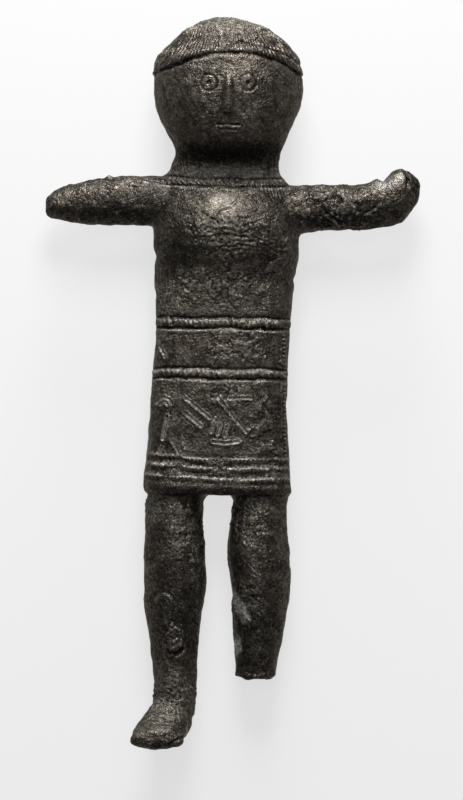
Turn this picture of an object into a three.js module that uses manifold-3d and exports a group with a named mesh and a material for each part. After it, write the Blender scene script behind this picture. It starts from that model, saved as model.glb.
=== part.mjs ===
// A small votive figurine, cast solid in bronze: a standing figure in a long banded tunic, arms held out.
// It can't stand, so it lies on its back. Units are millimetres: +X is towards the figure's left hand,
// +Y towards the crown of its head and +Z up out of its chest. The origin is under the middle of the
// figure, on the surface that it lies on.
import * as THREE from "three";
import { mergeVertices } from "three/addons/utils/BufferGeometryUtils.js";
import Module from "manifold-3d";

const wasm = await Module();
wasm.setup();

// Tunic: heights of the chased grooves, in pairs or threes that leave a raised cord between them.
const COLLAR_GROOVES = [30.5, 29.2];
const WAIST_GROOVES = [9.7, 8.15];
const THIGH_GROOVES = [2.05, 0.55];
const HEM_GROOVES = [-11.35, -12.65, -14.1];
const GROOVE_HALF_WIDTH = 0.42;
const GROOVE_DEPTH = 0.34;
const BAND_SLOPE = 0.02; // the bands run down towards the figure's left, in mm per mm
const TUNIC_TOP = 31.2;
const TUNIC_SIDES = 36;
const TUNIC_RING_GAP = 3;

// Head and hair: a cap of combed hair stands proud of the face above an arched hairline.
const HEAD_SIDES = 36;
const HAIR_SIDES = 60;
const HAIR_THICKNESS = 0.4;
const COMB_DEPTH = 0.16;
const HAIRLINE_TOP = 49.3;
const HAIRLINE_RADIUS = 20.8;
const HAIR_SIDE_EDGE = 4.4; // how far above the resting surface the hair's edge runs down the sides
const NAPE = 35.6;

// Face: plain stamped and chased marks, set out by rule between the crown and the chin.
const CROWN = 54.8;
const CHIN = 34.6;
const FACE_CENTRE = -0.7;
const EYE_LINE = (CROWN + CHIN) / 2;
const FACE_PLANE = 14.5;
const EYE_WIDTH = FACE_PLANE / 5;
const BROW = EYE_LINE + EYE_WIDTH / 2;
const NOSE_BASE = (BROW + CHIN) / 2;
const MOUTH = NOSE_BASE - (NOSE_BASE - CHIN) / 3;
const STAMP_RADIUS = 0.16;

const LIMB_SIDES = 20;
const SPAN = 140; // wider and longer than the whole figure

const BRONZE = new THREE.MeshStandardMaterial({ color: 0x3a352c, roughness: 0.55, metalness: 0.6 });

// A function that runs smoothly through rows of [place, value, value, ...], ordered by place.
function stations(rows) {
  const places = rows.map((row) => row[0]);
  const values = rows.flatMap((row) => row.slice(1));
  const curve = new THREE.CubicInterpolant(places, values, rows[0].length - 1);
  return (place) => Array.from(curve.evaluate(place));
}

// A power of the sine or cosine that keeps its sign: 1 gives a circle, less than 1 a squarer section.
function squared(value, exponent) {
  return Math.sign(value) * Math.abs(value) ** exponent;
}

// A closed skin over rings of equal length, with a fan of faces over each end.
function skin(rings) {
  const sides = rings[0].length;
  const middle = (ring) => ring.reduce((sum, p) => sum.add(p), new THREE.Vector3()).divideScalar(sides);
  const points = [...rings.flat(), middle(rings[0]), middle(rings.at(-1))];
  const first = points.length - 2;
  const last = points.length - 1;
  const faces = [];
  for (let side = 0; side < sides; side++) {
    const next = (side + 1) % sides;
    faces.push(first, next, side);
    for (let ring = 0; ring < rings.length - 1; ring++) {
      const low = ring * sides;
      const high = low + sides;
      faces.push(low + side, low + next, high + side, low + next, high + next, high + side);
    }
    const end = (rings.length - 1) * sides;
    faces.push(last, end + side, end + next);
  }
  return new THREE.BufferGeometry().setFromPoints(points).setIndex(faces);
}

// A three.js geometry as a solid, turned the right way out.
function solid(geometry) {
  const bare = geometry.clone().deleteAttribute("normal").deleteAttribute("uv");
  const merged = mergeVertices(bare, 1e-4);
  const build = (index) =>
    new wasm.Manifold(
      new wasm.Mesh({
        numProp: 3,
        vertProperties: merged.attributes.position.array,
        triVerts: Uint32Array.from(index),
      }),
    );
  const made = build(merged.index.array);
  return made.volume() > 0 ? made : build(Array.from(merged.index.array).reverse());
}

function placed(geometry, position, scale = [1, 1, 1], turn = new THREE.Quaternion()) {
  const matrix = new THREE.Matrix4();
  matrix.compose(new THREE.Vector3(...position), turn, new THREE.Vector3(...scale));
  return solid(geometry.clone().applyMatrix4(matrix));
}

// Body sections: [height, centre, half width, back, front, squareness].
// One ring lies square to the body's length, and may slope and bow. Front and back share one middle.
function bodyRing(height, [centre, halfWidth, back, front, power], sides, options = {}) {
  const { swell = () => 0, slope = 0, bow = 0 } = options;
  const middle = (back + front) / 2;
  const halfDepth = (front - back) / 2;
  const ring = [];
  for (let side = 0; side < sides; side++) {
    const angle = (side / sides) * 2 * Math.PI;
    const across = squared(Math.cos(angle), 2 / power);
    const deep = squared(Math.sin(angle), 2 / power);
    const out = swell(side);
    const x = centre + across * (halfWidth + out);
    const lift = bow * across ** 2 * Math.max(0, deep);
    ring.push(new THREE.Vector3(x, height - slope * x + lift, middle + deep * (halfDepth + out)));
  }
  return ring;
}

// Tunic, from the hem up to the shoulders.
const tunicAt = stations([
  [-16.7, -2.3, 10.5, 0.5, 10.1, 3.2],
  [-16.3, -2.3, 11.0, 0.0, 10.6, 3.3],
  [-15.3, -2.35, 11.15, -0.3, 10.8, 3.3],
  [-12.1, -2.3, 10.95, -0.3, 10.5, 3.4],
  [-8.5, -2.25, 10.65, -0.3, 10.2, 3.5],
  [-1.0, -2.05, 10.25, -0.3, 9.9, 3.6],
  [6.0, -1.6, 10.15, -0.3, 9.7, 3.6],
  [12.5, -1.35, 10.35, -0.3, 9.6, 3.5],
  [16.5, -1.2, 10.65, -0.3, 9.8, 3.1],
  [18.5, -1.0, 10.75, -0.3, 10.5, 2.7],
  [21.5, -1.0, 11.0, -0.3, 11.8, 2.4],
  [24.5, -1.0, 11.05, -0.3, 11.9, 2.4],
  [27.5, -1.1, 10.8, 0.0, 10.8, 2.4],
  [29.6, -1.4, 10.0, 0.8, 9.8, 2.4],
  [31.2, -1.4, 8.7, 1.8, 9.0, 2.4],
]);

// The grooves are cut across the front, run out on the flanks, and leave the back plain.
function groovedShare(turn) {
  const flank = 1 / 18;
  return Math.min(1, Math.max(0, Math.sin(turn * 2 * Math.PI) / Math.sin(flank * 2 * Math.PI)));
}

function tunic() {
  const roundedHem = [-16.7, -16.3, -15.3];
  const grooves = [...COLLAR_GROOVES, ...WAIST_GROOVES, ...THIGH_GROOVES, ...HEM_GROOVES];
  const across = [-GROOVE_HALF_WIDTH, 0, GROOVE_HALF_WIDTH];
  const grooveRings = grooves.flatMap((groove) => across.map((offset) => groove + offset));
  const needed = [...roundedHem, ...grooveRings, TUNIC_TOP].sort((a, b) => a - b);
  const heights = needed.flatMap((height, i) => {
    const gap = (needed[i + 1] ?? height) - height;
    const steps = Math.max(1, Math.ceil(gap / TUNIC_RING_GAP));
    return Array.from({ length: steps }, (_, step) => height + (gap * step) / steps);
  });
  const rings = heights.map((height) => {
    const depth = grooves.includes(height) ? GROOVE_DEPTH : 0;
    const swell = (side) => -depth * groovedShare(side / TUNIC_SIDES);
    return bodyRing(height, tunicAt(height), TUNIC_SIDES, { swell, slope: BAND_SLOPE });
  });
  return solid(skin(rings));
}

// Head and neck, from inside the shoulders up to the crown.
// The last number is how far the front of a ring bows up towards the sides, which rounds the chin.
const headAt = stations([
  [28.0, -1.4, 8.4, 1.8, 8.6, 2.3, 0],
  [30.6, -1.6, 8.8, 1.5, 9.3, 2.3, 0],
  [32.0, -1.25, 8.2, 1.9, 9.5, 2.3, 0],
  [33.2, -1.0, 7.9, 2.1, 10.0, 2.3, 0.6],
  [34.0, -0.8, 7.85, 2.0, 11.4, 2.3, 1.8],
  [34.7, -0.7, 7.9, 1.9, 13.2, 2.3, 2.4],
  [36.0, -0.65, 8.4, 1.5, 14.7, 2.3, 2.2],
  [38.6, -0.85, 9.75, 0.6, 15.8, 2.2, 1.2],
  [42.0, -0.7, 11.0, -0.2, 16.3, 2.2, 0],
  [45.5, -0.75, 11.15, -0.3, 16.2, 2.2, 0],
  [48.8, -0.85, 10.3, 0.2, 15.3, 2.2, 0],
  [51.3, -0.65, 7.7, 1.8, 13.5, 2.2, 0],
  [52.9, -0.85, 5.1, 3.5, 11.8, 2.1, 0],
  [53.7, -1.15, 3.0, 5.0, 10.4, 2.0, 0],
  [54.2, -1.35, 0.8, 6.7, 8.5, 2.0, 0],
]);

function head() {
  const heights = [28, 31, 32.2, 33.2, 33.9, 34.5, 35.2, 36.2, 37.6, 39.2, 41, 43, 45, 47, 48.8, 51.3, 53.7];
  const rings = heights.map((height) => {
    const values = headAt(height);
    return bodyRing(height, values, HEAD_SIDES, { bow: values[5] });
  });
  return solid(skin(rings));
}

// The hair is the head's own form, thicker and combed from the crown, cut away over the face.
function hair() {
  const heights = [NAPE - 0.8, NAPE, 37.8, 40.6, 43.6, 46.6, 49.2, 51.2, 52.6, 53.6, 54.2];
  const skull = heights.at(-1);
  const rings = heights.map((height, i) => {
    const proud = i === 0 ? -COMB_DEPTH : HAIR_THICKNESS;
    const towardsCrown = Math.max(0, (height - HAIRLINE_TOP) / (skull - HAIRLINE_TOP));
    const combed = COMB_DEPTH * (1 - towardsCrown);
    const swell = (side) => proud - (side % 2 ? combed : 0);
    return bodyRing(height + (CROWN - skull) * towardsCrown, headAt(height), HAIR_SIDES, { swell });
  });
  const reach = 14; // sideways, past the widest part of the head
  const half = Math.asin(reach / HAIRLINE_RADIUS);
  const arcCentre = HAIRLINE_TOP - HAIRLINE_RADIUS;
  const belowChin = CHIN - 10;
  const opening = new THREE.Shape();
  opening.moveTo(FACE_CENTRE - reach, belowChin);
  opening.lineTo(FACE_CENTRE + reach, belowChin);
  opening.absarc(FACE_CENTRE, arcCentre, HAIRLINE_RADIUS, Math.PI / 2 - half, Math.PI / 2 + half, false);
  opening.closePath();
  const cutter = new THREE.ExtrudeGeometry(opening, { depth: 20, bevelEnabled: false, curveSegments: 16 });
  return solid(skin(rings)).subtract(placed(cutter, [0, 0, HAIR_SIDE_EDGE]));
}

// The height of the face's surface above the resting surface, and the way it faces.
function faceFront(x, height) {
  const [centre, halfWidth, back, front, power] = headAt(height);
  const middle = (back + front) / 2;
  const across = Math.abs(x - centre) / halfWidth;
  return middle + (front - middle) * (1 - across ** power) ** (1 / power);
}

function faceTurn(x, height) {
  const step = 0.4;
  const slopeX = (faceFront(x + step, height) - faceFront(x - step, height)) / (2 * step);
  const slopeY = (faceFront(x, height + step) - faceFront(x, height - step)) / (2 * step);
  const normal = new THREE.Vector3(-slopeX, -slopeY, 1).normalize();
  return new THREE.Quaternion().setFromUnitVectors(new THREE.Vector3(0, 0, 1), normal);
}

// An eye is a ring and a dot, struck into the face with a round punch.
function eyes() {
  return [-1, 1].map((way) => {
    const x = FACE_CENTRE + way * EYE_WIDTH;
    const at = [x, EYE_LINE, faceFront(x, EYE_LINE)];
    const turn = faceTurn(x, EYE_LINE);
    const ring = new THREE.TorusGeometry(EYE_WIDTH / 2 - STAMP_RADIUS, STAMP_RADIUS, 5, 18);
    const dot = new THREE.SphereGeometry(STAMP_RADIUS * 2, 8, 6);
    return placed(ring, at, [1, 1, 1], turn).add(placed(dot, at));
  });
}

// The nose is a low wedge, and the mouth two strokes of a chisel, the upper one longer.
function nose() {
  const length = BROW - NOSE_BASE;
  const wedge = new THREE.SphereGeometry(1, 12, 10);
  const middle = (BROW + NOSE_BASE) / 2 - 0.3;
  return placed(wedge, [FACE_CENTRE, middle, faceFront(FACE_CENTRE, middle) - 0.1], [0.85, length / 2, 0.6]);
}

function mouth() {
  const strokes = [
    [MOUTH, 3.2],
    [MOUTH - 0.75, 2.4],
  ];
  return strokes.map(([height, width]) => {
    const stroke = new THREE.CapsuleGeometry(STAMP_RADIUS, width, 2, 6).rotateZ(Math.PI / 2);
    return placed(stroke, [FACE_CENTRE, height, faceFront(FACE_CENTRE, height) - 0.02]);
  });
}

// A limb follows its own bent middle line, with one ring for each row. Rows are [x, y, z, half size
// along the axis that the limb bends about, half size across it].
function limb(rows, bendAxis) {
  const middles = rows.map(([x, y, z]) => new THREE.Vector3(x, y, z));
  const rings = rows.map(([, , , along, across], i) => {
    const before = middles[Math.max(i - 1, 0)];
    const after = middles[Math.min(i + 1, rows.length - 1)];
    const way = after.clone().sub(before).normalize();
    const crossWay = way.cross(bendAxis).normalize();
    const ring = [];
    for (let side = 0; side < LIMB_SIDES; side++) {
      const angle = (side / LIMB_SIDES) * 2 * Math.PI;
      const point = middles[i].clone();
      point.addScaledVector(bendAxis, along * Math.cos(angle));
      point.addScaledVector(crossWay, across * Math.sin(angle));
      ring.push(point);
    }
    return ring;
  });
  return solid(skin(rings));
}

const SIDEWAYS = new THREE.Vector3(1, 0, 0);
const UPWARDS = new THREE.Vector3(0, 0, 1);

// The figure's right arm narrows to a worn stump.
function rightArm() {
  return limb([
    [-28.0, 26.45, 6.2, 0.9, 1.0],
    [-27.4, 26.6, 6.2, 1.7, 1.8],
    [-26.5, 26.85, 6.2, 2.2, 2.35],
    [-25.0, 27.0, 6.2, 2.6, 2.75],
    [-21.1, 27.2, 6.0, 3.2, 3.4],
    [-17.5, 27.4, 5.9, 3.4, 3.7],
    [-12.5, 27.4, 5.7, 3.6, 3.85],
    [-7.0, 27.2, 5.5, 3.5, 3.5],
  ], UPWARDS);
}

// The left arm ends in a hand that turns up, with a cleft between the thumb and the palm.
function leftArm() {
  const arm = limb([
    [6.0, 26.1, 5.5, 3.4, 3.4],
    [10.0, 26.1, 5.7, 3.6, 3.7],
    [14.0, 26.45, 5.8, 3.5, 3.5],
    [18.0, 26.4, 6.0, 3.3, 3.35],
    [21.3, 26.75, 6.1, 3.3, 3.5],
    [23.5, 27.5, 6.2, 3.3, 3.8],
    [24.9, 28.8, 6.3, 3.1, 3.3],
    [25.1, 30.2, 6.3, 2.9, 2.8],
    [24.8, 31.4, 6.3, 2.2, 1.9],
    [24.6, 32.1, 6.3, 1.0, 0.8],
  ], UPWARDS);
  const cleft = placed(new THREE.SphereGeometry(1, 10, 6), [26.2, 30.4, 8.9], [0.3, 1.2, 0.7]);
  return arm.subtract(cleft);
}

// The right leg is whole, with a low casting blister on the shin, and ends in a turned-out foot. Both legs
// widen inwards just under the hem, which rounds the corners of the gap between them.
function rightLeg() {
  const leg = limb([
    [-8.6, -13.0, 5.0, 4.0, 4.0],
    [-8.2, -16.7, 4.9, 4.5, 4.2],
    [-8.7, -17.6, 4.9, 4.2, 4.2],
    [-8.9, -21.1, 4.95, 4.4, 4.5],
    [-8.75, -25.5, 5.0, 4.65, 4.9],
    [-8.7, -28.9, 4.9, 4.75, 4.9],
    [-8.85, -32.5, 4.6, 4.45, 4.6],
    [-8.95, -36.0, 4.35, 4.05, 4.2],
    [-8.85, -39.6, 4.2, 3.65, 3.8],
    [-8.65, -43.0, 4.15, 3.3, 3.6],
    [-8.6, -46.4, 4.3, 3.2, 3.6],
    [-8.85, -49.8, 4.6, 3.1, 3.4],
  ], SIDEWAYS);
  const blister = placed(new THREE.SphereGeometry(1, 16, 10), [-9.0, -38.7, 7.9], [1.4, 2.1, 0.5]);
  return leg.add(blister).add(foot());
}

function foot() {
  const sole = limb([
    [-9.1, -50.4, 0.2, 1.5, 1.4],
    [-9.1, -50.3, 1.3, 2.5, 2.6],
    [-9.2, -50.2, 3.6, 3.0, 3.4],
    [-9.6, -50.6, 6.4, 3.4, 3.3],
    [-10.4, -51.5, 9.0, 3.75, 2.8],
    [-11.0, -52.4, 11.4, 4.0, 2.3],
    [-11.2, -53.0, 13.6, 4.0, 1.8],
    [-11.3, -53.3, 14.6, 3.5, 1.3],
  ], SIDEWAYS);
  const toeGap = 1.5;
  const toes = [0, 1, 2, 3, 4].map((toe) => {
    const size = toe === 0 ? 1.3 : 1.1;
    const x = -8.3 - toe * toeGap;
    const worn = 0.16 * (toe - 2) ** 2;
    const form = new THREE.SphereGeometry(size, 8, 6);
    return placed(form, [x, -53.65 + worn * 0.6, 14.3 - worn]);
  });
  return sole.add(wasm.Manifold.union(toes));
}

// The left leg is broken off above the ankle, and the break is uneven.
function leftLeg() {
  const leg = limb([
    [4.2, -13.0, 5.0, 3.9, 4.0],
    [3.85, -16.7, 4.9, 4.4, 4.2],
    [4.15, -17.6, 4.9, 4.1, 4.2],
    [3.75, -21.1, 4.95, 4.35, 4.5],
    [3.85, -25.5, 5.0, 4.65, 4.9],
    [4.15, -28.9, 4.9, 4.6, 4.9],
    [4.15, -32.5, 4.6, 4.35, 4.6],
    [3.9, -36.0, 4.35, 4.0, 4.2],
    [3.65, -39.6, 4.2, 3.5, 3.8],
    [3.4, -43.2, 4.1, 3.05, 3.4],
    [3.3, -46.4, 4.1, 2.8, 3.1],
  ], SIDEWAYS);
  const below = -50;
  const breakLine = new THREE.Shape();
  breakLine.moveTo(-2, -43.8);
  breakLine.lineTo(1.1, -44.1);
  breakLine.quadraticCurveTo(2.4, -45.0, 3.3, -44.3);
  breakLine.lineTo(5.3, -44.6);
  breakLine.quadraticCurveTo(6.1, -44.4, 6.3, -43.4);
  breakLine.lineTo(9, -43.2);
  breakLine.lineTo(9, below);
  breakLine.lineTo(-2, below);
  breakLine.closePath();
  const cutter = new THREE.ExtrudeGeometry(breakLine, { depth: 14, bevelEnabled: false, curveSegments: 4 });
  return leg.subtract(placed(cutter, [0, 0, -2]));
}

// Everything is one casting. Its back is flat where it lies.
function casting() {
  const forms = [tunic(), head(), hair(), nose(), rightArm(), leftArm(), rightLeg(), leftLeg()];
  const under = placed(new THREE.BoxGeometry(SPAN, SPAN, 4), [0, 0, -2]);
  return wasm.Manifold.union(forms).subtract(wasm.Manifold.union([...eyes(), ...mouth(), under]));
}

function geometryOf(manifold) {
  const mesh = manifold.getMesh();
  const geometry = new THREE.BufferGeometry();
  geometry.setAttribute("position", new THREE.BufferAttribute(mesh.vertProperties, 3));
  geometry.setIndex(new THREE.BufferAttribute(mesh.triVerts, 1));
  return geometry;
}

// Moves the figure so that its box stands squarely over the origin.
function centred(geometry) {
  geometry.computeBoundingBox();
  const middle = geometry.boundingBox.getCenter(new THREE.Vector3());
  return geometry.translate(-middle.x, -middle.y, 0);
}

const figurine = new THREE.Mesh(centred(geometryOf(casting())), BRONZE);
figurine.name = "figurine";
const part = new THREE.Group();
part.add(figurine);

export default part;
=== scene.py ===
from math import cos, pi, radians, sin

import bpy
import numpy as np
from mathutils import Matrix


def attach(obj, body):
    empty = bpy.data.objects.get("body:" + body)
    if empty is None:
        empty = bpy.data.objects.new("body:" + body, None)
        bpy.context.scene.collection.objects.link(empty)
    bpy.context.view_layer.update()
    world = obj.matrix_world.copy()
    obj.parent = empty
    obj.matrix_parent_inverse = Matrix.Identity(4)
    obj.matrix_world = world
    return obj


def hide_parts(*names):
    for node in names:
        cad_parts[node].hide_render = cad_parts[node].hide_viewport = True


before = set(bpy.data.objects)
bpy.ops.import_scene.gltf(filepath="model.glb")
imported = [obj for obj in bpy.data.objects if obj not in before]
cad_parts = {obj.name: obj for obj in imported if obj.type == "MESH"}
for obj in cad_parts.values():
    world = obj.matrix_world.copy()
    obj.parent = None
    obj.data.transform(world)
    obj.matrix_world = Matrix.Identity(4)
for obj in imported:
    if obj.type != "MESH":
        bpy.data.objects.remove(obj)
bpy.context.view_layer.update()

# Camera. It looks straight down on the figure, which lies on its back, through a long lens from so far
# off that the outline is almost flat. The picture takes in 120 mm from top to bottom.
MM = 0.001
PICTURE_HEIGHT = 120
PICTURE_CENTRE = (-0.05, -2.475)
LENS = 300
SENSOR = 36
FIGURE_MIDDLE = 6
camera_height = FIGURE_MIDDLE + PICTURE_HEIGHT * LENS / SENSOR
bpy.ops.object.camera_add(location=(PICTURE_CENTRE[0] * MM, PICTURE_CENTRE[1] * MM, camera_height * MM))
camera = bpy.context.object
camera.data.lens = LENS
camera.data.sensor_width = SENSOR
camera.data.clip_start = 0.1
camera.data.clip_end = 10
bpy.context.scene.camera = camera


# The casting. The whole figure is one piece of bronze, cast solid. The solid is copied and its facets
# are rubbed away, and all the fine work below is cut into that skin before it is thinned to size.
def on_its_own(obj):
    """Makes obj the only selected object, and the active one."""
    bpy.ops.object.select_all(action="DESELECT")
    obj.select_set(True)
    bpy.context.view_layer.objects.active = obj


def finished(obj, kind, **settings):
    """Adds a modifier of that kind to obj and applies it."""
    modifier = obj.modifiers.new(kind.lower(), kind)
    for name, value in settings.items():
        setattr(modifier, name, value)
    on_its_own(obj)
    bpy.ops.object.modifier_apply(modifier=modifier.name)


SKIN_GRID = 0.13
SMOOTHINGS = 44
TOES_BELOW = -51.8
TOE_SMOOTHINGS = 110
figurine = bpy.data.objects.new("bronze_figurine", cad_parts["figurine"].data.copy())
bpy.context.scene.collection.objects.link(figurine)
figurine.data.materials.clear()
on_its_own(figurine)
bpy.ops.object.mode_set(mode="EDIT")
bpy.ops.mesh.select_all(action="SELECT")
bpy.ops.mesh.remove_doubles(threshold=0.001 * MM)
bpy.ops.object.mode_set(mode="OBJECT")
finished(figurine, "REMESH", mode="VOXEL", voxel_size=SKIN_GRID * MM)
finished(figurine, "SMOOTH", factor=0.5, iterations=SMOOTHINGS)
toes = figurine.vertex_groups.new(name="toes")
toe_points = [point.index for point in figurine.data.vertices if point.co.y < TOES_BELOW * MM]
toes.add(toe_points, 1.0, "REPLACE")
finished(figurine, "SMOOTH", factor=0.5, iterations=TOE_SMOOTHINGS, vertex_group="toes")

# From here on places are in millimetres: x towards the figure's left hand, y to the crown, z forward.
# Each cut or raised form adds to relief, how far a point of the skin moves out along its normal, and
# chalk is how much pale dust sits there, and on band lips, cord tops and hem ridges how much painted
# highlight. Three noises make lines wander, as work by hand does.
place = np.empty(len(figurine.data.vertices) * 3, np.float32)
facing = place.copy()
figurine.data.vertices.foreach_get("co", place)
figurine.data.vertex_normals.foreach_get("vector", facing)
place = place.reshape(-1, 3) / MM
facing = facing.reshape(-1, 3)
x, y, z = place.T
front = facing[:, 2] > 0.1
relief = np.zeros(len(place))
chalk_and_highlight = np.zeros(len(place))
up_the_figure = np.argsort(y)
heights = y[up_the_figure]


def step(value, width):
    """Rises smoothly from 0 to 1 over about twice the width, round value 0."""
    return 0.5 + 0.5 * np.tanh(value / width)


def hump(value, width):
    """1 where value is 0, falling away smoothly on both sides."""
    return np.exp(-((value / width) ** 2))


def grain(size, basis="BLENDER_ORIGINAL", octaves=1):
    """Samples a solid noise over the skin, with grains of about size mm and values round 0."""
    texture = bpy.data.textures.new("grain", "CLOUDS")
    texture.noise_basis = basis
    texture.noise_scale = size * MM
    texture.noise_depth = octaves
    sampler = figurine.modifiers.new("sampler", "DISPLACE")
    sampler.texture = texture
    sampler.texture_coords = "LOCAL"
    sampler.direction = "Z"
    sampler.mid_level = 0.5
    sampler.strength = MM
    moved = np.empty(len(place) * 3, np.float32)
    figurine.evaluated_get(bpy.context.evaluated_depsgraph_get()).data.vertices.foreach_get("co", moved)
    figurine.modifiers.remove(sampler)
    bpy.data.textures.remove(texture)
    return 4 * (moved.reshape(-1, 3)[:, 2] / MM - z)


def close_to(low, high):
    """The numbers of the skin's points that lie on the front between two corners, seen from the front."""
    first, last = np.searchsorted(heights, (low[1], high[1]))
    chosen = up_the_figure[first:last]
    return chosen[front[chosen] & (x[chosen] > low[0]) & (x[chosen] < high[0])]


wobble = grain(4.5)
waver = grain(2.6, octaves=2)
shiver = grain(0.7)


# Hair. A cap of combed hair stands proud of the face above an arched hairline, and is cut under along
# the rim at both sides. The combing fans out from beyond the crown, and is worn down over the brow.
HAIRLINE = 20.8
HAIRLINE_CENTRE = (-0.53, 28.5)
HAIR_SIDE_EDGE = 4.4
HALF_BROW = 6.5
NAPE = 35.6
FAN_CENTRE = (-0.6, 62.0)
FAN_LINES = 195
SIDE_LINES = 100
COMB_DEPTH = 0.14
HEAD_AXIS = (-0.6, 8.0)
above_face = np.hypot(x - HAIRLINE_CENTRE[0], y - HAIRLINE_CENTRE[1]) - HAIRLINE
above_face += 0.1 * waver + 0.06 * shiver + 0.2 * wobble
past_rim = np.where(z > HAIR_SIDE_EDGE, above_face, np.minimum(y - NAPE, HAIR_SIDE_EDGE - z + 1))
past_rim = np.where(y > NAPE - 1.5, past_rim, -9)
aside = np.clip(np.abs(x - HAIRLINE_CENTRE[0]) / HALF_BROW, 0, 1) ** 1.5
flank = 1 - step(facing[:, 2] - 0.4, 0.12)
relief -= (0.1 + 0.32 * aside) * (1 - 0.8 * flank) * hump(past_rim + 0.1, 0.32)
relief += 0.12 * (1 - flank) * hump(past_rim - 0.75, 0.5) - 0.24 * flank * hump(past_rim - 0.5, 1.0)
relief += 0.2 * (1 - aside) * hump(past_rim + 0.8, 0.7)
fan = np.arctan2(x - FAN_CENTRE[0], FAN_CENTRE[1] - y) * FAN_LINES
round_head = np.arctan2(z - HEAD_AXIS[1], x - HEAD_AXIS[0]) * SIDE_LINES
combing_in_front = np.cos(fan + 1.1 * waver + 0.4 * shiver)
combing = np.where(flank < 0.5, combing_in_front, np.cos(round_head + 0.9 * waver))
in_hair = step(past_rim - 0.3, 0.15)
worn_fringe = (1 - aside) * step(4.5 - past_rim, 2)
kept_combing = np.clip(0.4 + 0.55 * aside + 0.9 * waver, 0.1, 1.1) * (1 - 0.6 * worn_fringe)
relief += COMB_DEPTH * combing * in_hair * kept_combing
second_rim = hump(above_face - 1.3, 0.2) * (z > HAIR_SIDE_EDGE) * (y > 40)
relief -= 0.2 * second_rim * step(x - 3.0, 0.8)


# Face. The features are plain tool marks set out by rule: eyes struck with a ring punch at half the
# head's height, a low wedge of a nose, and a mouth of two chisel strokes.
CROWN = 54.8
CHIN = 34.6
FACE_CENTRE = -0.53
EYE_LINE = (CROWN + CHIN) / 2
FACE_PLANE = 14.5
EYE_WIDTH = FACE_PLANE / 5
BROW = EYE_LINE + EYE_WIDTH / 2
NOSE_BASE = (BROW + CHIN) / 2
MOUTH = NOSE_BASE - (NOSE_BASE - CHIN) / 3


def stroke(path, width, depth, burr=0.35, dusty=0.0):
    """Cuts a chased line along path, seen from the front, with the metal pushed up a little beside it."""
    path = np.array(path, float)
    near = close_to(path.min(0) - 2 * width, path.max(0) + 2 * width)
    spots = place[near, :2]
    away = np.full(len(spots), np.inf)
    for start, end in zip(path[:-1], path[1:]):
        run = end - start
        share = np.clip(((spots - start) @ run) / (run @ run), 0, 1)
        away = np.minimum(away, np.linalg.norm(spots - start - share[:, None] * run, axis=1))
    away = away + 0.12 * width * shiver[near]
    worn = depth * np.clip(0.85 + 0.35 * waver[near], 0.3, 1.2)
    relief[near] -= worn * (hump(away, width / 2) - burr * hump(away - width * 0.9, width * 0.35))
    chalk_and_highlight[near] = np.maximum(chalk_and_highlight[near], dusty * hump(away, width * 0.7) * (0.8 + 0.4 * shiver[near]))


def arc(centre, radius, start, end, steps=24):
    """Points on a round arc, with its ends in degrees."""
    turns = np.radians(np.linspace(start, end, steps))
    return np.column_stack([centre[0] + radius * np.cos(turns), centre[1] + radius * np.sin(turns)])


for side in (-1, 1):
    eye = (FACE_CENTRE + side * EYE_WIDTH, EYE_LINE)
    stroke(arc(eye, EYE_WIDTH / 2 - 0.2, 0, 360), 0.36, 0.16, burr=0.4)
    stroke(arc(eye, 0.1, 0, 360, 8), 0.4, 0.2, burr=0.3)
    stroke(arc((eye[0], EYE_LINE - 0.6), EYE_WIDTH / 2 + 0.75, 40, 140), 0.45, 0.06, burr=0.2)
down_nose = np.clip((BROW - 0.3 - y) / (BROW - 0.3 - NOSE_BASE), 0, 1)
nose_width = 0.42 + 0.6 * down_nose ** 1.5
nose_length = step(BROW - y, 0.35) * step(y - NOSE_BASE, 0.16)
relief += (0.05 + 0.4 * down_nose) * hump(x - FACE_CENTRE, nose_width) * nose_length * front
stroke([(FACE_CENTRE - 1.6, MOUTH), (FACE_CENTRE + 1.6, MOUTH)], 0.36, 0.18)
stroke([(FACE_CENTRE - 1.15, MOUTH - 0.75), (FACE_CENTRE + 1.15, MOUTH - 0.75)], 0.36, 0.12)


# Tunic bands. Chased grooves leave raised cords between them, nicked across like a twisted cord, at
# the waist and the thighs, with a finer band at the collar. The hem has three notched ridges. A pale
# painted highlight lies along the lip below each band, the upper half of each cord and each ridge's
# crest.
BAND_SLOPE = 0.02
GROOVE_WIDTH = 0.24
GROOVE_DEPTH = 0.18
LIP = 0.15
NICK_PITCH = 0.86
RIDGE_PITCH = 0.6
tunic_front = step(facing[:, 2] - 0.25, 0.12) * (np.abs(x + 1.4) < 12)
along = x * 2 * pi / NICK_PITCH


def band(grooves, bow=0.0, width=GROOVE_WIDTH, cord=0.26):
    """Cuts a band's grooves, with a lip below each, and rounds and nicks the cords between them. The lip
    and each cord's upper half get a painted highlight.
    """
    level = y + BAND_SLOPE * x + bow * ((x + 1) / 9) ** 2 + 0.12 * wobble + 0.07 * waver + 0.06 * shiver
    kept = tunic_front * np.clip(0.9 + 0.5 * waver, 0.35, 1.2)
    for groove in grooves:
        relief[:] -= kept * GROOVE_DEPTH * hump(level - groove, width)
    lip = kept * hump(level - grooves[-1] + 1.9 * width, 0.22) * (1 + 0.4 * shiver)
    relief[:] += LIP * lip
    # Painted highlight: pale colour on the lip below the band, where the light catches it.
    chalk_and_highlight[:] = np.maximum(chalk_and_highlight, 0.35 * lip)
    for top, bottom in zip(grooves[:-1], grooves[1:]):
        half = (top - bottom) / 2
        up_cord = (level - bottom) / half - 1
        on_cord = kept * np.sqrt(np.clip(1 - up_cord ** 2, 0, 1))
        nicks = np.cos(along + 1.6 * up_cord + 2.6 * waver + 1.2 * shiver)
        relief[:] += on_cord * (cord + 0.07 * nicks + 0.05 * shiver)
        # Painted highlight: pale colour on the upper half of each cord, the side that faces the light.
        chalk_and_highlight[:] = np.maximum(chalk_and_highlight, 0.25 * on_cord * step(up_cord - 0.1, 0.25))


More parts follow.
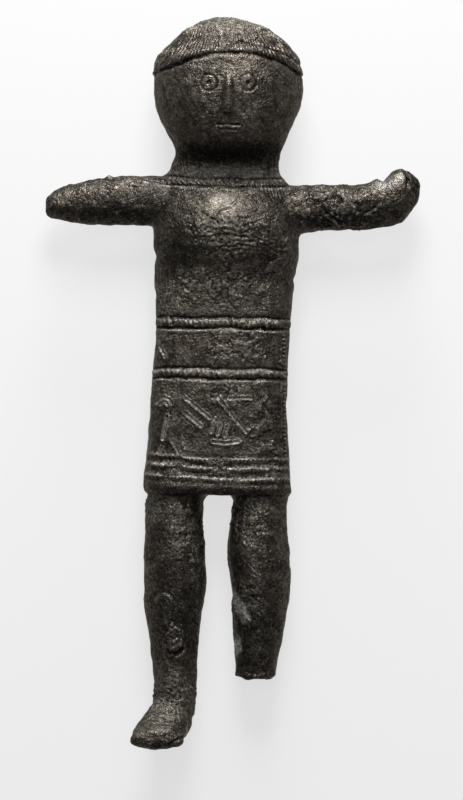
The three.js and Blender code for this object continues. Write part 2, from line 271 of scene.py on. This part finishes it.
def ridge(height, bow=-0.35):
    """Raises one notched ridge of the hem, broken up in the middle of the figure, with a painted
    highlight on its crest.
    """
    level = y + BAND_SLOPE * x + bow * ((x + 1) / 9) ** 2 + 0.1 * wobble + 0.08 * waver + 0.06 * shiver
    notches = np.cos(x * 2 * pi / RIDGE_PITCH + 3 * waver + height)
    kept = tunic_front * (1 - 0.5 * hump(x + 1.4, 2.2)) * np.clip(0.95 + 0.5 * waver, 0.4, 1.3)
    crest = kept * hump(level - height + 0.07 * notches, 0.27)
    relief[:] += crest * (0.28 + 0.06 * notches)
    relief[:] -= kept * 0.14 * hump(level - height + 0.65, 0.4)
    # Painted highlight: pale colour along the ridge's crest.
    chalk_and_highlight[:] = np.maximum(chalk_and_highlight, 0.4 * crest)


band((30.5, 29.3), bow=-0.5, width=0.17, cord=0.06)
band((9.8, 8.3))
band((2.1, 0.75))
ridge(-11.45)
ridge(-12.85)
ridge(-14.45)

# The rolled hem, and the ledge where the swell of the chest ends above the belly.
relief += 0.12 * hump(y + BAND_SLOPE * x + 15.7, 0.7) * tunic_front
chest_end = 17.9 + 0.05 * x + 0.5 * waver + 0.15 * shiver
relief -= 0.16 * step(chest_end - y, 0.35) * step(y - 11, 3) * step(1 - x, 3) * tunic_front

# Breaks across the waist cord, nicks in the outline below both arms, and flanks drawn in a little.
for path in ([(-0.4, 10.0), (0.1, 8.5)], [(4.4, 9.2), (4.9, 7.9)], [(-9.2, 9.9), (-8.9, 8.9)]):
    stroke(path, 0.42, 0.24, burr=0.2)
for nick in ((-11.7, 19.2, 5.0), (9.3, 15.6, 5.5), (-11.9, 13.4, 4.5), (9.2, -3.0, 5.0)):
    away = np.linalg.norm((place - nick) / (1.0, 0.8, 2.4), axis=1)
    relief -= 0.34 * hump(away + 0.15 * shiver, 0.9)
relief -= 0.12 * step(0.5 - np.abs(facing[:, 2]), 0.15) * step(13 - y, 2) * step(y + 15.5, 0.5)

# Hair falls in short strands on the shoulders, at both sides of the neck.
beside_neck = step(np.abs(x + 0.6) - 5.5, 0.8) * (np.abs(x + 0.6) < 9.5) * hump(y - 32.6, 1.6)
relief += 0.06 * np.cos(x * 2 * pi / 0.5 + 2.2 * waver) * beside_neck * step(facing[:, 2] - 0.3, 0.1)

# Seam. A row of small punched beads runs down the figure's left flank, from the waist to the hem.
BEAD_PITCH = 0.62
BEAD_WIDTH = 0.36
SEAM_TOP = 8.0
SEAM_BOTTOM = -11.4
for bead in np.arange(SEAM_BOTTOM, SEAM_TOP, BEAD_PITCH):
    spot = (7.92 - 0.012 * bead, bead)
    stroke([spot, (spot[0] + 0.01, bead)], BEAD_WIDTH, -0.14, burr=0.8)

# Marks in the lower register. They are shallow strokes of a graver, and none of them is a letter:
# nested arcs, slanting strokes in a pair, a long stroke, ticks and two bars.
MARK_WIDTH = 0.34
MARK_DEPTH = 0.18
marks = [
    arc((-10.1, -3.3), 1.15, 15, 165),
    arc((-10.1, -3.3), 0.5, 15, 165),
    [(-9.7, -4.9), (-10.3, -8.3)],
    [(-6.8, -2.3), (-3.4, -5.1)],
    [(-7.1, -4.3), (-4.6, -6.4)],
    [(-2.2, -1.9), (0.4, -5.2), (2.2, -7.3)],
    [(-0.3, -2.3), (2.8, -2.2)],
    arc((-0.9, -1.0), 7.9, -104, -75),
]
marks += [[(-2.7 + tick, -5.9 - 0.3 * tick), (-3.1 + tick, -7.3 - 0.3 * tick)] for tick in range(3)]
for path in marks:
    stroke(path, MARK_WIDTH, MARK_DEPTH, burr=0.8, dusty=0.8)

# Scratches and old knocks on the tunic, and the short hatching cut over the left shoulder.
for path in (
    [(-10.8, 5.8), (-10.0, 3.9)],
    [(-11.0, 6.4), (-10.5, 4.9), (-9.9, 4.3)],
    [(-7.3, -8.4), (-7.0, -9.6)],
    [(-9.0, -8.5), (-8.0, -10.4)],
    [(-12.6, -12.4), (-11.2, -11.2), (-10.6, -9.6)],
    [(1.8, 28.4), (3.3, 28.7)],
):
    stroke(path, 0.28, 0.1, burr=0.8, dusty=0.6)
for line in range(7):
    left = 4.6 + 0.5 * line
    top = 30.2 - 0.16 * line
    stroke([(left, top), (left + 0.5, top - 1.8)], 0.28, 0.09, burr=0.6)
for line in range(14):
    left = -7.6 + 0.85 * line
    top = 30.3 - BAND_SLOPE * left
    stroke([(left, top), (left + 0.1, top - 0.8)], 0.26, 0.05, burr=0.6)


# Arms. The right arm ends in a pitted stump. The left one is creased along its underside, and its hand
# turns up, with a cleft between thumb and palm. Both are worn down in places and swollen in others.
def pit(spot, radius, depth, rim=0.3):
    """Sinks a round pit into the skin, with a slight rim."""
    away = np.linalg.norm(place - spot, axis=1) / radius + 0.1 * shiver
    relief[:] -= depth * (hump(away, 0.75) - rim * hump(away - 1.35, 0.4))


def nearest(across, up):
    """The skin's point that is furthest forward at this place, seen from the front."""
    close = close_to((across - 0.3, up - 0.3), (across + 0.3, up + 0.3))
    return place[close[np.argmax(z[close])]]


pit(nearest(-26.2, 27.9), 0.8, 0.2, 0.1)
pit(nearest(-27.0, 26.8), 0.5, -0.15, 0.5)
stroke([(-26.6, 28.9), (-26.3, 27.6), (-26.8, 25.8)], 0.6, 0.12)
for spot, radius, rise in (
    ((-27.6, 25.2, 6.2), 1.5, 0.4),
    ((-27.0, 28.4, 6.2), 1.5, -0.35),
    ((26.6, 32.2, 6.3), 1.6, -0.4),
    ((28.3, 28.8, 6.3), 1.8, 0.3),
):
    pit(np.array(spot), radius, -rise, 0)
pit(np.array((-24.2, 29.3, 6.6)), 0.6, -0.3)
pit(np.array((-18.4, 31.1, 6.2)), 0.7, -0.4)
folds = grain(2.4, octaves=2)
on_left_arm = step(x - 13.5, 1.5) * step(25.0 - x, 1.2) * step(29.0 - y, 0.8) * front
relief += on_left_arm * 0.26 * folds
on_right_arm = step(-13 - x, 1.5) * front
relief += on_right_arm * 0.12 * folds
for path in (
    [(13.6, 26.4), (14.6, 25.0), (16.4, 24.2)],
    [(18.6, 25.9), (20.0, 25.5), (21.2, 26.2), (22.2, 27.4)],
):
    stroke(path, 0.5, 0.16, burr=0.5)
stroke([(26.0, 31.4), (26.4, 30.4), (26.2, 29.2)], 0.5, 0.16, burr=0.2)


# Legs. The shins are crusted and pitted, and a low casting blister on the right one has a deep crescent
# along its lower edge. The left leg is snapped off above the ankle, and the break is rough.
BLISTER = (-8.83, -38.7)
BLISTER_SIZE = (1.45, 2.2)
from_blister = np.linalg.norm((place[:, :2] - BLISTER) / BLISTER_SIZE, axis=1) + 0.12 * waver
relief += step(1 - from_blister, 0.12) * front * (0.08 + 0.12 * shiver)
stroke(arc((-8.6, -39.3), 1.15, 205, 335), 0.62, 0.5, burr=0.15)
pit(nearest(-9.1, -36.3), 0.35, -0.25)
stroke([(-9.1, -36.2), (-7.9, -36.9)], 0.4, -0.14, dusty=0.3)
stroke(arc((-10.2, -32.8), 1.2, 20, 160), 0.45, -0.1, burr=0.6, dusty=0.35)
for path in (
    [(3.1, -28.4), (4.9, -29.6)],
    [(2.0, -26.4), (3.5, -28.0), (4.2, -28.9)],
    [(-9.0, -31.0), (-8.1, -32.0)],
    [(-10.0, -34.4), (-9.6, -36.0)],
):
    stroke(path, 0.26, 0.07, burr=0.8, dusty=0.3)
at_break = step(-43.2 - y, 0.2) * (x > -1)
relief += at_break * (0.14 * waver + 0.05 * shiver)
stroke([(0.9, -43.0), (3.0, -43.4), (5.6, -43.0)], 0.5, 0.1)
relief -= 0.2 * step(-facing[:, 1] - 0.5, 0.2) * step(-42.5 - y, 0.3) * (x > -1)

# Foot. The toes are worn to lumps, with a step across the instep and a hollow and a crack below it.
stroke([(-10.2, -49.9), (-8.2, -50.3), (-6.4, -51.6)], 0.6, 0.12)
pit(nearest(-11.2, -53.5), 0.7, 0.3)
stroke([(-9.2, -53.6), (-7.4, -52.6)], 0.45, 0.2)
relief += 0.3 * step(-facing[:, 0] - 0.4, 0.2) * hump(y + 48.5, 4.0) * (x < -9)
relief -= 0.2 * step(-facing[:, 1] - 0.5, 0.2) * step(-53.5 - y, 0.3)


# Skin. The metal is lumpy and pitted all over as it came from the mould, more so on the limbs, with a
# flaky crust in patches that end in low ragged edges. The chest has been handled smooth.
def patch(across, up, half_width, half_height, turn=0):
    """1 inside a ragged oval on the front, 0 well outside it."""
    reach = 2.2 * max(half_width, half_height)
    near = close_to((across - reach, up - reach), (across + reach, up + reach))
    aslant = radians(turn)
    right = x[near] - across
    above = y[near] - up
    along_oval = right * cos(aslant) + above * sin(aslant)
    across_oval = above * cos(aslant) - right * sin(aslant)
    away = np.hypot(along_oval / half_width, across_oval / half_height)
    inside = np.zeros(len(place))
    inside[near] = step(1 - away + 0.3 * shiver[near] + 0.2 * waver[near], 0.2)
    return inside


def patches(ovals):
    """The strongest of several ragged ovals, each its strength, place, half sizes and perhaps turn."""
    strength = np.zeros(len(place))
    for share, *oval in ovals:
        strength = np.maximum(strength, share * patch(*oval))
    return strength


polish = patch(-1.2, 26.4, 2.6, 1.8)
# Crust patches lighten the metal with dust. The one across the base of the neck and the one on top of the
# hair cap are painted light: they brighten the neck where the head shades it and the cap's top where the
# light falls.
crust_and_painted_light = patches((
    (0.9, -2.0, 53.8, 8.0, 1.3),
    (0.9, -0.6, 31.6, 9.6, 1.3),
    (0.8, -8.6, 33.0, 1.4, 2.2),
    (0.8, 7.6, 32.8, 1.6, 2.0),
    (1.0, -1.3, 22.0, 4.0, 3.0),
    (0.9, -3.9, 15.6, 3.4, 1.5),
    (0.4, -10.6, 17.0, 0.9, 3.0),
    (1.0, -9.9, 12.1, 1.5, 2.3),
    (0.6, 6.0, 21.6, 2.6, 2.4),
    (0.5, -1.5, 9.8, 5.5, 1.9),
    (0.6, -10.4, 7.4, 0.9, 1.4),
    (0.6, 0.6, 4.4, 2.4, 1.5),
    (1.0, -11.4, 1.0, 1.2, 2.6),
    (0.9, -1.5, 0.8, 3.8, 1.7),
    (0.9, 8.2, 1.0, 1.0, 5.6),
    (0.5, -1.0, -14.6, 2.6, 1.4),
    (0.5, -11.6, -13.0, 0.9, 1.0),
    (1.0, -11.8, -18.6, 1.9, 2.4),
    (0.8, -6.9, -22.6, 2.4, 2.9),
    (0.9, -5.3, -28.1, 0.8, 6.4),
    (0.9, -5.7, -35.6, 0.7, 2.4),
    (1.0, 3.4, -18.3, 3.4, 1.6),
    (0.8, 2.0, -21.2, 1.6, 1.7),
    (0.5, 2.3, -24.5, 1.6, 2.1),
    (0.8, 3.9, -33.8, 1.7, 1.5),
    (0.4, -8.83, -38.6, 1.5, 2.3),
    (0.7, -8.0, -46.0, 2.2, 3.2, 20),
    (0.9, -9.3, -48.6, 2.7, 2.4),
    (0.9, -10.2, -51.5, 1.1, 0.8),
    (0.5, -8.3, -54.0, 1.4, 0.7),
))
# Darker patches. Some are grime, and those under the chin, below the collar, under both arms, along the
# rolled hem and over the lower part of the hair cap are painted shade.
grime_and_painted_shade = patches((
    (0.5, -9.0, -35.0, 3.6, 7.5),
    (0.5, 4.2, -38.0, 3.2, 5.6),
    (0.4, -2.0, -8.0, 9.5, 6.5),
    (0.8, 23.2, 31.3, 1.8, 0.9, 30),
    (0.9, -3.4, 50.6, 6.6, 1.8),
    (0.9, 5.5, 49.8, 3.8, 1.7),
    (0.8, -19.0, 25.0, 7.0, 1.5),
    (0.9, 17.0, 24.3, 7.0, 1.4),
    (0.8, 24.4, 31.9, 1.8, 0.6, -10),
    (0.5, -6.6, 28.4, 2.8, 1.2),
    (0.5, 5.6, 28.2, 3.2, 1.2),
    (0.9, -0.6, 34.6, 7.6, 1.5),
    (0.4, -7.3, -13.0, 3.4, 2.0),
    (0.4, 3.4, -12.0, 3.6, 2.6),
    (0.7, -16.5, 28.6, 7.0, 2.1),
    (0.6, -27.0, 25.4, 1.4, 1.2),
    (0.8, 16.6, 28.2, 6.2, 1.9),
    (0.7, 23.6, 24.8, 2.4, 1.3),
    (0.9, 27.9, 28.6, 1.2, 2.6),
    (0.5, -8.0, 26.0, 2.6, 3.4),
    (0.6, -7.5, 20.4, 3.0, 3.0),
    (0.4, 7.2, 26.6, 2.6, 1.6),
    (0.5, 5.6, 20.0, 1.8, 2.4),
    (0.3, -7.0, -6.0, 3.2, 4.2),
    (0.4, 5.4, -5.0, 2.0, 5.0),
    (0.4, 5.0, -14.8, 2.6, 0.9),
    (0.5, -2.0, -15.9, 9.0, 0.7),
    (0.5, -11.8, -23.8, 1.6, 2.8),
    (0.5, -9.6, -28.0, 2.2, 2.4),
    (0.5, -11.2, -36.6, 1.2, 2.6),
    (0.5, 5.6, -26.8, 2.0, 4.2),
    (0.6, 3.6, -40.6, 2.4, 2.4),
    (0.7, -7.6, -51.6, 1.2, 1.6, -30),
    (0.9, -10.6, -53.8, 2.6, 1.0),
))
limbs = np.clip(step(np.abs(x + 1.3) - 11.5, 0.8) + step(-17 - y, 0.6), 0, 1)
rough = (0.8 + 0.3 * limbs) * (1 - 0.6 * polish)
pitted = np.clip(-0.8 - grain(0.55, "VORONOI_F1", 0), 0, 1.2)
relief += rough * (0.12 * grain(3.4) + 0.035 * grain(1.3) + 0.014 * grain(0.55))
relief -= rough * 0.12 * pitted

# Flakes. Where the crust has lifted, its edges stand as low ragged steps, and cracks wander through it.
flaking = np.zeros(len(place))
for oval in (
    (0.2, 21.8, 6.2, 3.4),
    (0.9, 5.2, 4.2, 2.2),
    (-0.5, -1.8, 4.0, 2.0),
    (-1.0, -13.4, 3.2, 1.8),
    (5.2, -7.0, 2.4, 4.0),
    (1.2, 51.2, 3.4, 1.3),
    (-6.4, -22.4, 3.0, 3.6),
    (2.8, -20.4, 2.8, 3.0),
    (2.6, -33.0, 2.2, 3.4),
    (-8.6, -46.4, 2.6, 2.6),
    (15.0, 26.0, 4.5, 3.0),
    (-3.0, 14.6, 7.0, 2.4),
    (6.4, 19.4, 2.4, 3.4),
):
    flaking = np.maximum(flaking, patch(*oval))
flakes = grain(1.7, octaves=3)
lifted = step(flakes - 0.05, 0.06)
relief += flaking * (0.1 * lifted - 0.12 * hump(flakes + 0.22, 0.05))
crust_and_painted_light = np.maximum(crust_and_painted_light, 0.6 * flaking * lifted)

# Creases run across the chest below the handled spot, and a few long cracks run down through them.
sagging = y + 0.035 * (x - 0.5) ** 2 + 0.35 * wobble
creases = patch(0.4, 21.9, 5.4, 2.3) * np.cos(2 * pi * sagging / 0.8 + 2.6 * waver)
relief += 0.06 * creases
for path in (
    [(-3.1, 24.7), (-2.3, 24.3), (-1.9, 23.6), (-1.4, 22.6)],
    [(2.4, 23.8), (3.4, 24.0), (4.4, 24.4)],
    [(1.7, 28.3), (3.4, 28.8)],
    [(-4.4, 25.6), (-3.6, 25.0)],
):
    stroke(path, 0.3, 0.14, burr=0.3)
for path in (
    [(-2.7, 25.0), (-1.6, 26.2), (0.1, 26.6), (0.9, 27.4)],
    [(-5.4, 25.8), (-4.3, 24.6)],
    [(-6.4, 23.6), (-5.2, 22.2)],
):
    stroke(path, 0.4, -0.1, burr=0.2)
relief += crust_and_painted_light * (0.04 + 0.03 * shiver + 0.06 * grain(0.36))

# Where the figure lies on the floor its metal is plainer, and stays flat.
relief[z < 0.25] *= 0.35

# What the patina shows by place is kept with the skin: red for crust and painted light, green from grimy
# and painted-shade patches to handled metal, blue for how far a spot lies in or stands out of the skin
# round it, and alpha for pale deposits, painted highlights and painted light.
LEVELLINGS = 16
corners = np.empty(len(figurine.data.edges) * 2, np.int32)
figurine.data.edges.foreach_get("vertices", corners)
partner_of = corners.reshape(-1, 2)[:, ::-1]
partners = np.bincount(corners)
smoothed = relief.copy()
for _ in range(LEVELLINGS):
    summed = np.bincount(corners, smoothed[partner_of].ravel())
    smoothed = 0.5 * smoothed + 0.5 * summed / partners
proud = relief - smoothed
pale_and_painted_light = np.clip(chalk_and_highlight, 0, 1)
# Pale deposits on a shin and on the hand, and across the base of the neck a painted light where the head
# shades it.
pale_and_painted_light = np.maximum(pale_and_painted_light, patches((
    (1.0, 1.3, -33.6, 0.8, 2.5, 22),
    (0.9, 0.85, -39.5, 0.6, 1.4),
    (0.35, 23.7, 30.4, 2.2, 1.0, 30),
    (0.3, -0.6, 31.6, 9.0, 0.8),
)))
tones = figurine.data.attributes.new("patina", "FLOAT_COLOR", "POINT")
channels = [crust_and_painted_light, 0.5 + 0.5 * (polish - grime_and_painted_shade), np.clip(0.5 + proud / 0.2, 0, 1), pale_and_painted_light]
tones.data.foreach_set("color", np.column_stack(channels).astype(np.float32).ravel())

moved = place + facing * relief[:, None]
moved[:, 2] = np.maximum(moved[:, 2], 0)
figurine.data.vertices.foreach_set("co", (moved * MM).astype(np.float32).ravel())
figurine.data.update()

# The skin is thinned to what one piece may hold. The plainer sides and back are thinned first.
TRIANGLES = 196000
PLAIN_TRIANGLES = 36000


def triangles(chosen):
    """How many triangles the figurine's faces make whose first corner is chosen."""
    corner_counts = np.empty(len(figurine.data.polygons), np.int32)
    figurine.data.polygons.foreach_get("loop_total", corner_counts)
    first_loops = corner_counts.copy()
    figurine.data.polygons.foreach_get("loop_start", first_loops)
    loop_points = np.empty(len(figurine.data.loops), np.int32)
    figurine.data.loops.foreach_get("vertex_index", loop_points)
    return int((corner_counts - 2)[chosen[loop_points[first_loops]]].sum())


everywhere = np.ones(len(place), bool)
plain = figurine.vertex_groups.new(name="plain")
for weight, chosen in ((0.0, front), (1.0, ~front)):
    plain.add(np.flatnonzero(chosen).tolist(), weight, "REPLACE")
all_triangles = triangles(everywhere)
first_aim = triangles(front) + PLAIN_TRIANGLES
plainly = {"vertex_group": "plain", "vertex_group_factor": 1.0}
finished(figurine, "DECIMATE", ratio=first_aim / all_triangles, **plainly)
finished(figurine, "DECIMATE", ratio=TRIANGLES / triangles(everywhere))
bpy.ops.object.shade_smooth()

# Bronze. A dark brown, nearly black patina over the metal, dull in the hollows, brighter where it has
# been handled, with a dusty crust in patches. Painted shade darkens it under the chin, below the collar,
# under the arms, along the rolled hem and low on the hair cap; painted light brightens the base of the
# neck and the top of the cap, and a painted highlight lies along the band lips, cord tops and hem ridges.
bronze = bpy.data.materials.new("dark_bronze")
bronze.use_nodes = True
nodes = bronze.node_tree.nodes
links = bronze.node_tree.links
surface = nodes["Principled BSDF"]
surface.inputs["Specular IOR Level"].default_value = 0.1
surface.inputs["Specular Tint"].default_value = (0.48, 0.46, 0.43, 1)
where = nodes.new("ShaderNodeTexCoord").outputs["Object"]
patina = nodes.new("ShaderNodeAttribute")
patina.attribute_name = "patina"
split = nodes.new("ShaderNodeSeparateColor")
links.new(patina.outputs["Color"], split.inputs["Color"])
crusty_and_painted_light = split.outputs["Red"]
grime_and_painted_shade_to_handled = split.outputs["Green"]
standing_out = split.outputs["Blue"]


def noise(size, detail=4, roughness=0.6):
    """Noise over the metal, with grains about size mm across."""
    node = nodes.new("ShaderNodeTexNoise")
    node.inputs["Scale"].default_value = 1 / (size * MM)
    node.inputs["Detail"].default_value = detail
    node.inputs["Roughness"].default_value = roughness
    links.new(where, node.inputs["Vector"])
    return node.outputs["Fac"]


def spread(value, low, high, to_low=0.0, to_high=1.0):
    """Maps a value's range from low to high onto another."""
    node = nodes.new("ShaderNodeMapRange")
    links.new(value, node.inputs["Value"])
    for name, number in (("From Min", low), ("From Max", high), ("To Min", to_low), ("To Max", to_high)):
        node.inputs[name].default_value = number
    return node.outputs["Result"]


def blended(share, under, over):
    """Mixes two colours, each a tuple or an earlier mix. A Mix node's colour sockets have no names."""
    node = nodes.new("ShaderNodeMix")
    node.data_type = "RGBA"
    links.new(share, node.inputs["Factor"])
    for socket, colour in ((node.inputs[6], under), (node.inputs[7], over)):
        if isinstance(colour, tuple):
            socket.default_value = (*colour, 1)
        else:
            links.new(colour, socket)
    return node.outputs[2]


def figured(operation, first, second):
    """One sum of two values, each a number or a socket."""
    node = nodes.new("ShaderNodeMath")
    node.operation = operation
    for socket, value in zip(node.inputs, (first, second)):
        if isinstance(value, (int, float)):
            socket.default_value = value
        else:
            links.new(value, socket)
    return node.outputs["Value"]


# The grime colour darkens grime and painted shade, the dust colour lightens crust and painted light, and
# the pale colour lies on pale deposits and on painted highlights and light.
BROWN = (0.066, 0.056, 0.046)
UMBER = (0.038, 0.033, 0.028)
BLACK = (0.012, 0.011, 0.010)
GRIME_AND_SHADE = (0.018, 0.016, 0.014)
RUBBED = (0.17, 0.15, 0.125)
DUST_AND_PAINTED_LIGHT = (0.13, 0.12, 0.102)
HANDLED = (0.1, 0.09, 0.076)
PALE_AND_PAINTED_LIGHT = (0.32, 0.305, 0.28)
mottle = noise(0.45, 3, 0.6)
handling = spread(grime_and_painted_shade_to_handled, 0.5, 1.0)
film = spread(noise(1.5, 5, 0.65), 0.42, 0.68, 0.0, 0.45)
crusted_and_painted_light = figured("MULTIPLY", crusty_and_painted_light, spread(noise(0.5, 4, 0.65), 0.4, 0.6))
dusty = figured("MAXIMUM", film, crusted_and_painted_light)
chalky_and_painted_light = figured("MULTIPLY", patina.outputs["Alpha"], spread(noise(0.4), 0.3, 0.5))
colour = blended(spread(noise(2.2, 6, 0.65), 0.38, 0.62), BROWN, UMBER)
# Dust and crust, and painted light at the base of the neck and on top of the cap.
colour = blended(dusty, colour, DUST_AND_PAINTED_LIGHT)
# Grime, and painted shade under the chin, the collar and the arms, along the hem and low on the cap.
colour = blended(spread(grime_and_painted_shade_to_handled, 0.5, 0.0), colour, GRIME_AND_SHADE)
colour = blended(spread(mottle, 0.48, 0.34, 0, 0.8), colour, BLACK)
colour = blended(spread(mottle, 0.56, 0.68, 0, 0.65), colour, RUBBED)
colour = blended(handling, colour, HANDLED)
colour = blended(spread(standing_out, 0.45, 0.1), colour, BLACK)
colour = blended(spread(standing_out, 0.6, 1.0, 0, 0.8), colour, RUBBED)
# Pale deposits, and painted highlights and painted light.
colour = blended(chalky_and_painted_light, colour, PALE_AND_PAINTED_LIGHT)
links.new(colour, surface.inputs["Base Color"])
links.new(spread(figured("MAXIMUM", dusty, chalky_and_painted_light), 0, 1, 0.85, 0.25), surface.inputs["Metallic"])
gloss_grain = spread(noise(0.35, 2), 0.62, 0.4, 0.25, 0.44)
dull = figured("ADD", gloss_grain, figured("MULTIPLY", dusty, 0.15))
links.new(dull, surface.inputs["Roughness"])
bump = nodes.new("ShaderNodeBump")
bump.inputs["Distance"].default_value = 0.16 * MM
links.new(spread(handling, 0, 1, 1.0, 0.5), bump.inputs["Strength"])
links.new(noise(0.32, 2, 0.55), bump.inputs["Height"])
links.new(bump.outputs["Normal"], surface.inputs["Normal"])
figurine.data.materials.append(bronze)
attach(figurine, "root")
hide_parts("figurine")


# Floor and light. The figure lies on a plain pale light table, which glows and so softens the shadows.
# Two soft lights stand beyond its head, one of them raking, and a weaker one hangs overhead.
bpy.ops.mesh.primitive_plane_add(size=6, location=(0, 0, 0))
floor = bpy.context.object
floor.name = "floor"
pale_floor = bpy.data.materials.new("pale_floor")
pale_floor.use_nodes = True
floor_surface = pale_floor.node_tree.nodes["Principled BSDF"]
floor_surface.inputs["Base Color"].default_value = (0.2, 0.2, 0.2, 1)
floor_surface.inputs["Roughness"].default_value = 0.9
floor_surface.inputs["Specular IOR Level"].default_value = 0.0
floor_surface.inputs["Emission Color"].default_value = (1, 1, 1, 1)
floor_surface.inputs["Emission Strength"].default_value = 0.67
floor.data.materials.append(pale_floor)


def soft_light(name, tilt, distance, size, power):
    """A square light that faces the figure, tilted from straight overhead towards its head."""
    turn = radians(tilt)
    spot = (0, distance * sin(turn), distance * cos(turn))
    bpy.ops.object.light_add(type="AREA", location=spot, rotation=(-turn, 0, 0))
    light = bpy.context.object
    light.name = name
    light.data.size = size
    light.data.energy = power


soft_light("key", tilt=52, distance=0.3, size=0.115, power=0.92)
soft_light("raking", tilt=80, distance=0.36, size=0.1, power=1.75)
soft_light("overhead", tilt=8, distance=1.6, size=0.8, power=4.2)
world = bpy.data.worlds.new("room")
bpy.context.scene.world = world
world.use_nodes = True
world.node_tree.nodes["Background"].inputs["Color"].default_value = (1, 1, 1, 1)
world.node_tree.nodes["Background"].inputs["Strength"].default_value = 0.14
bpy.context.scene.view_settings.view_transform = "Standard"
bpy.context.scene.view_settings.look = "None"
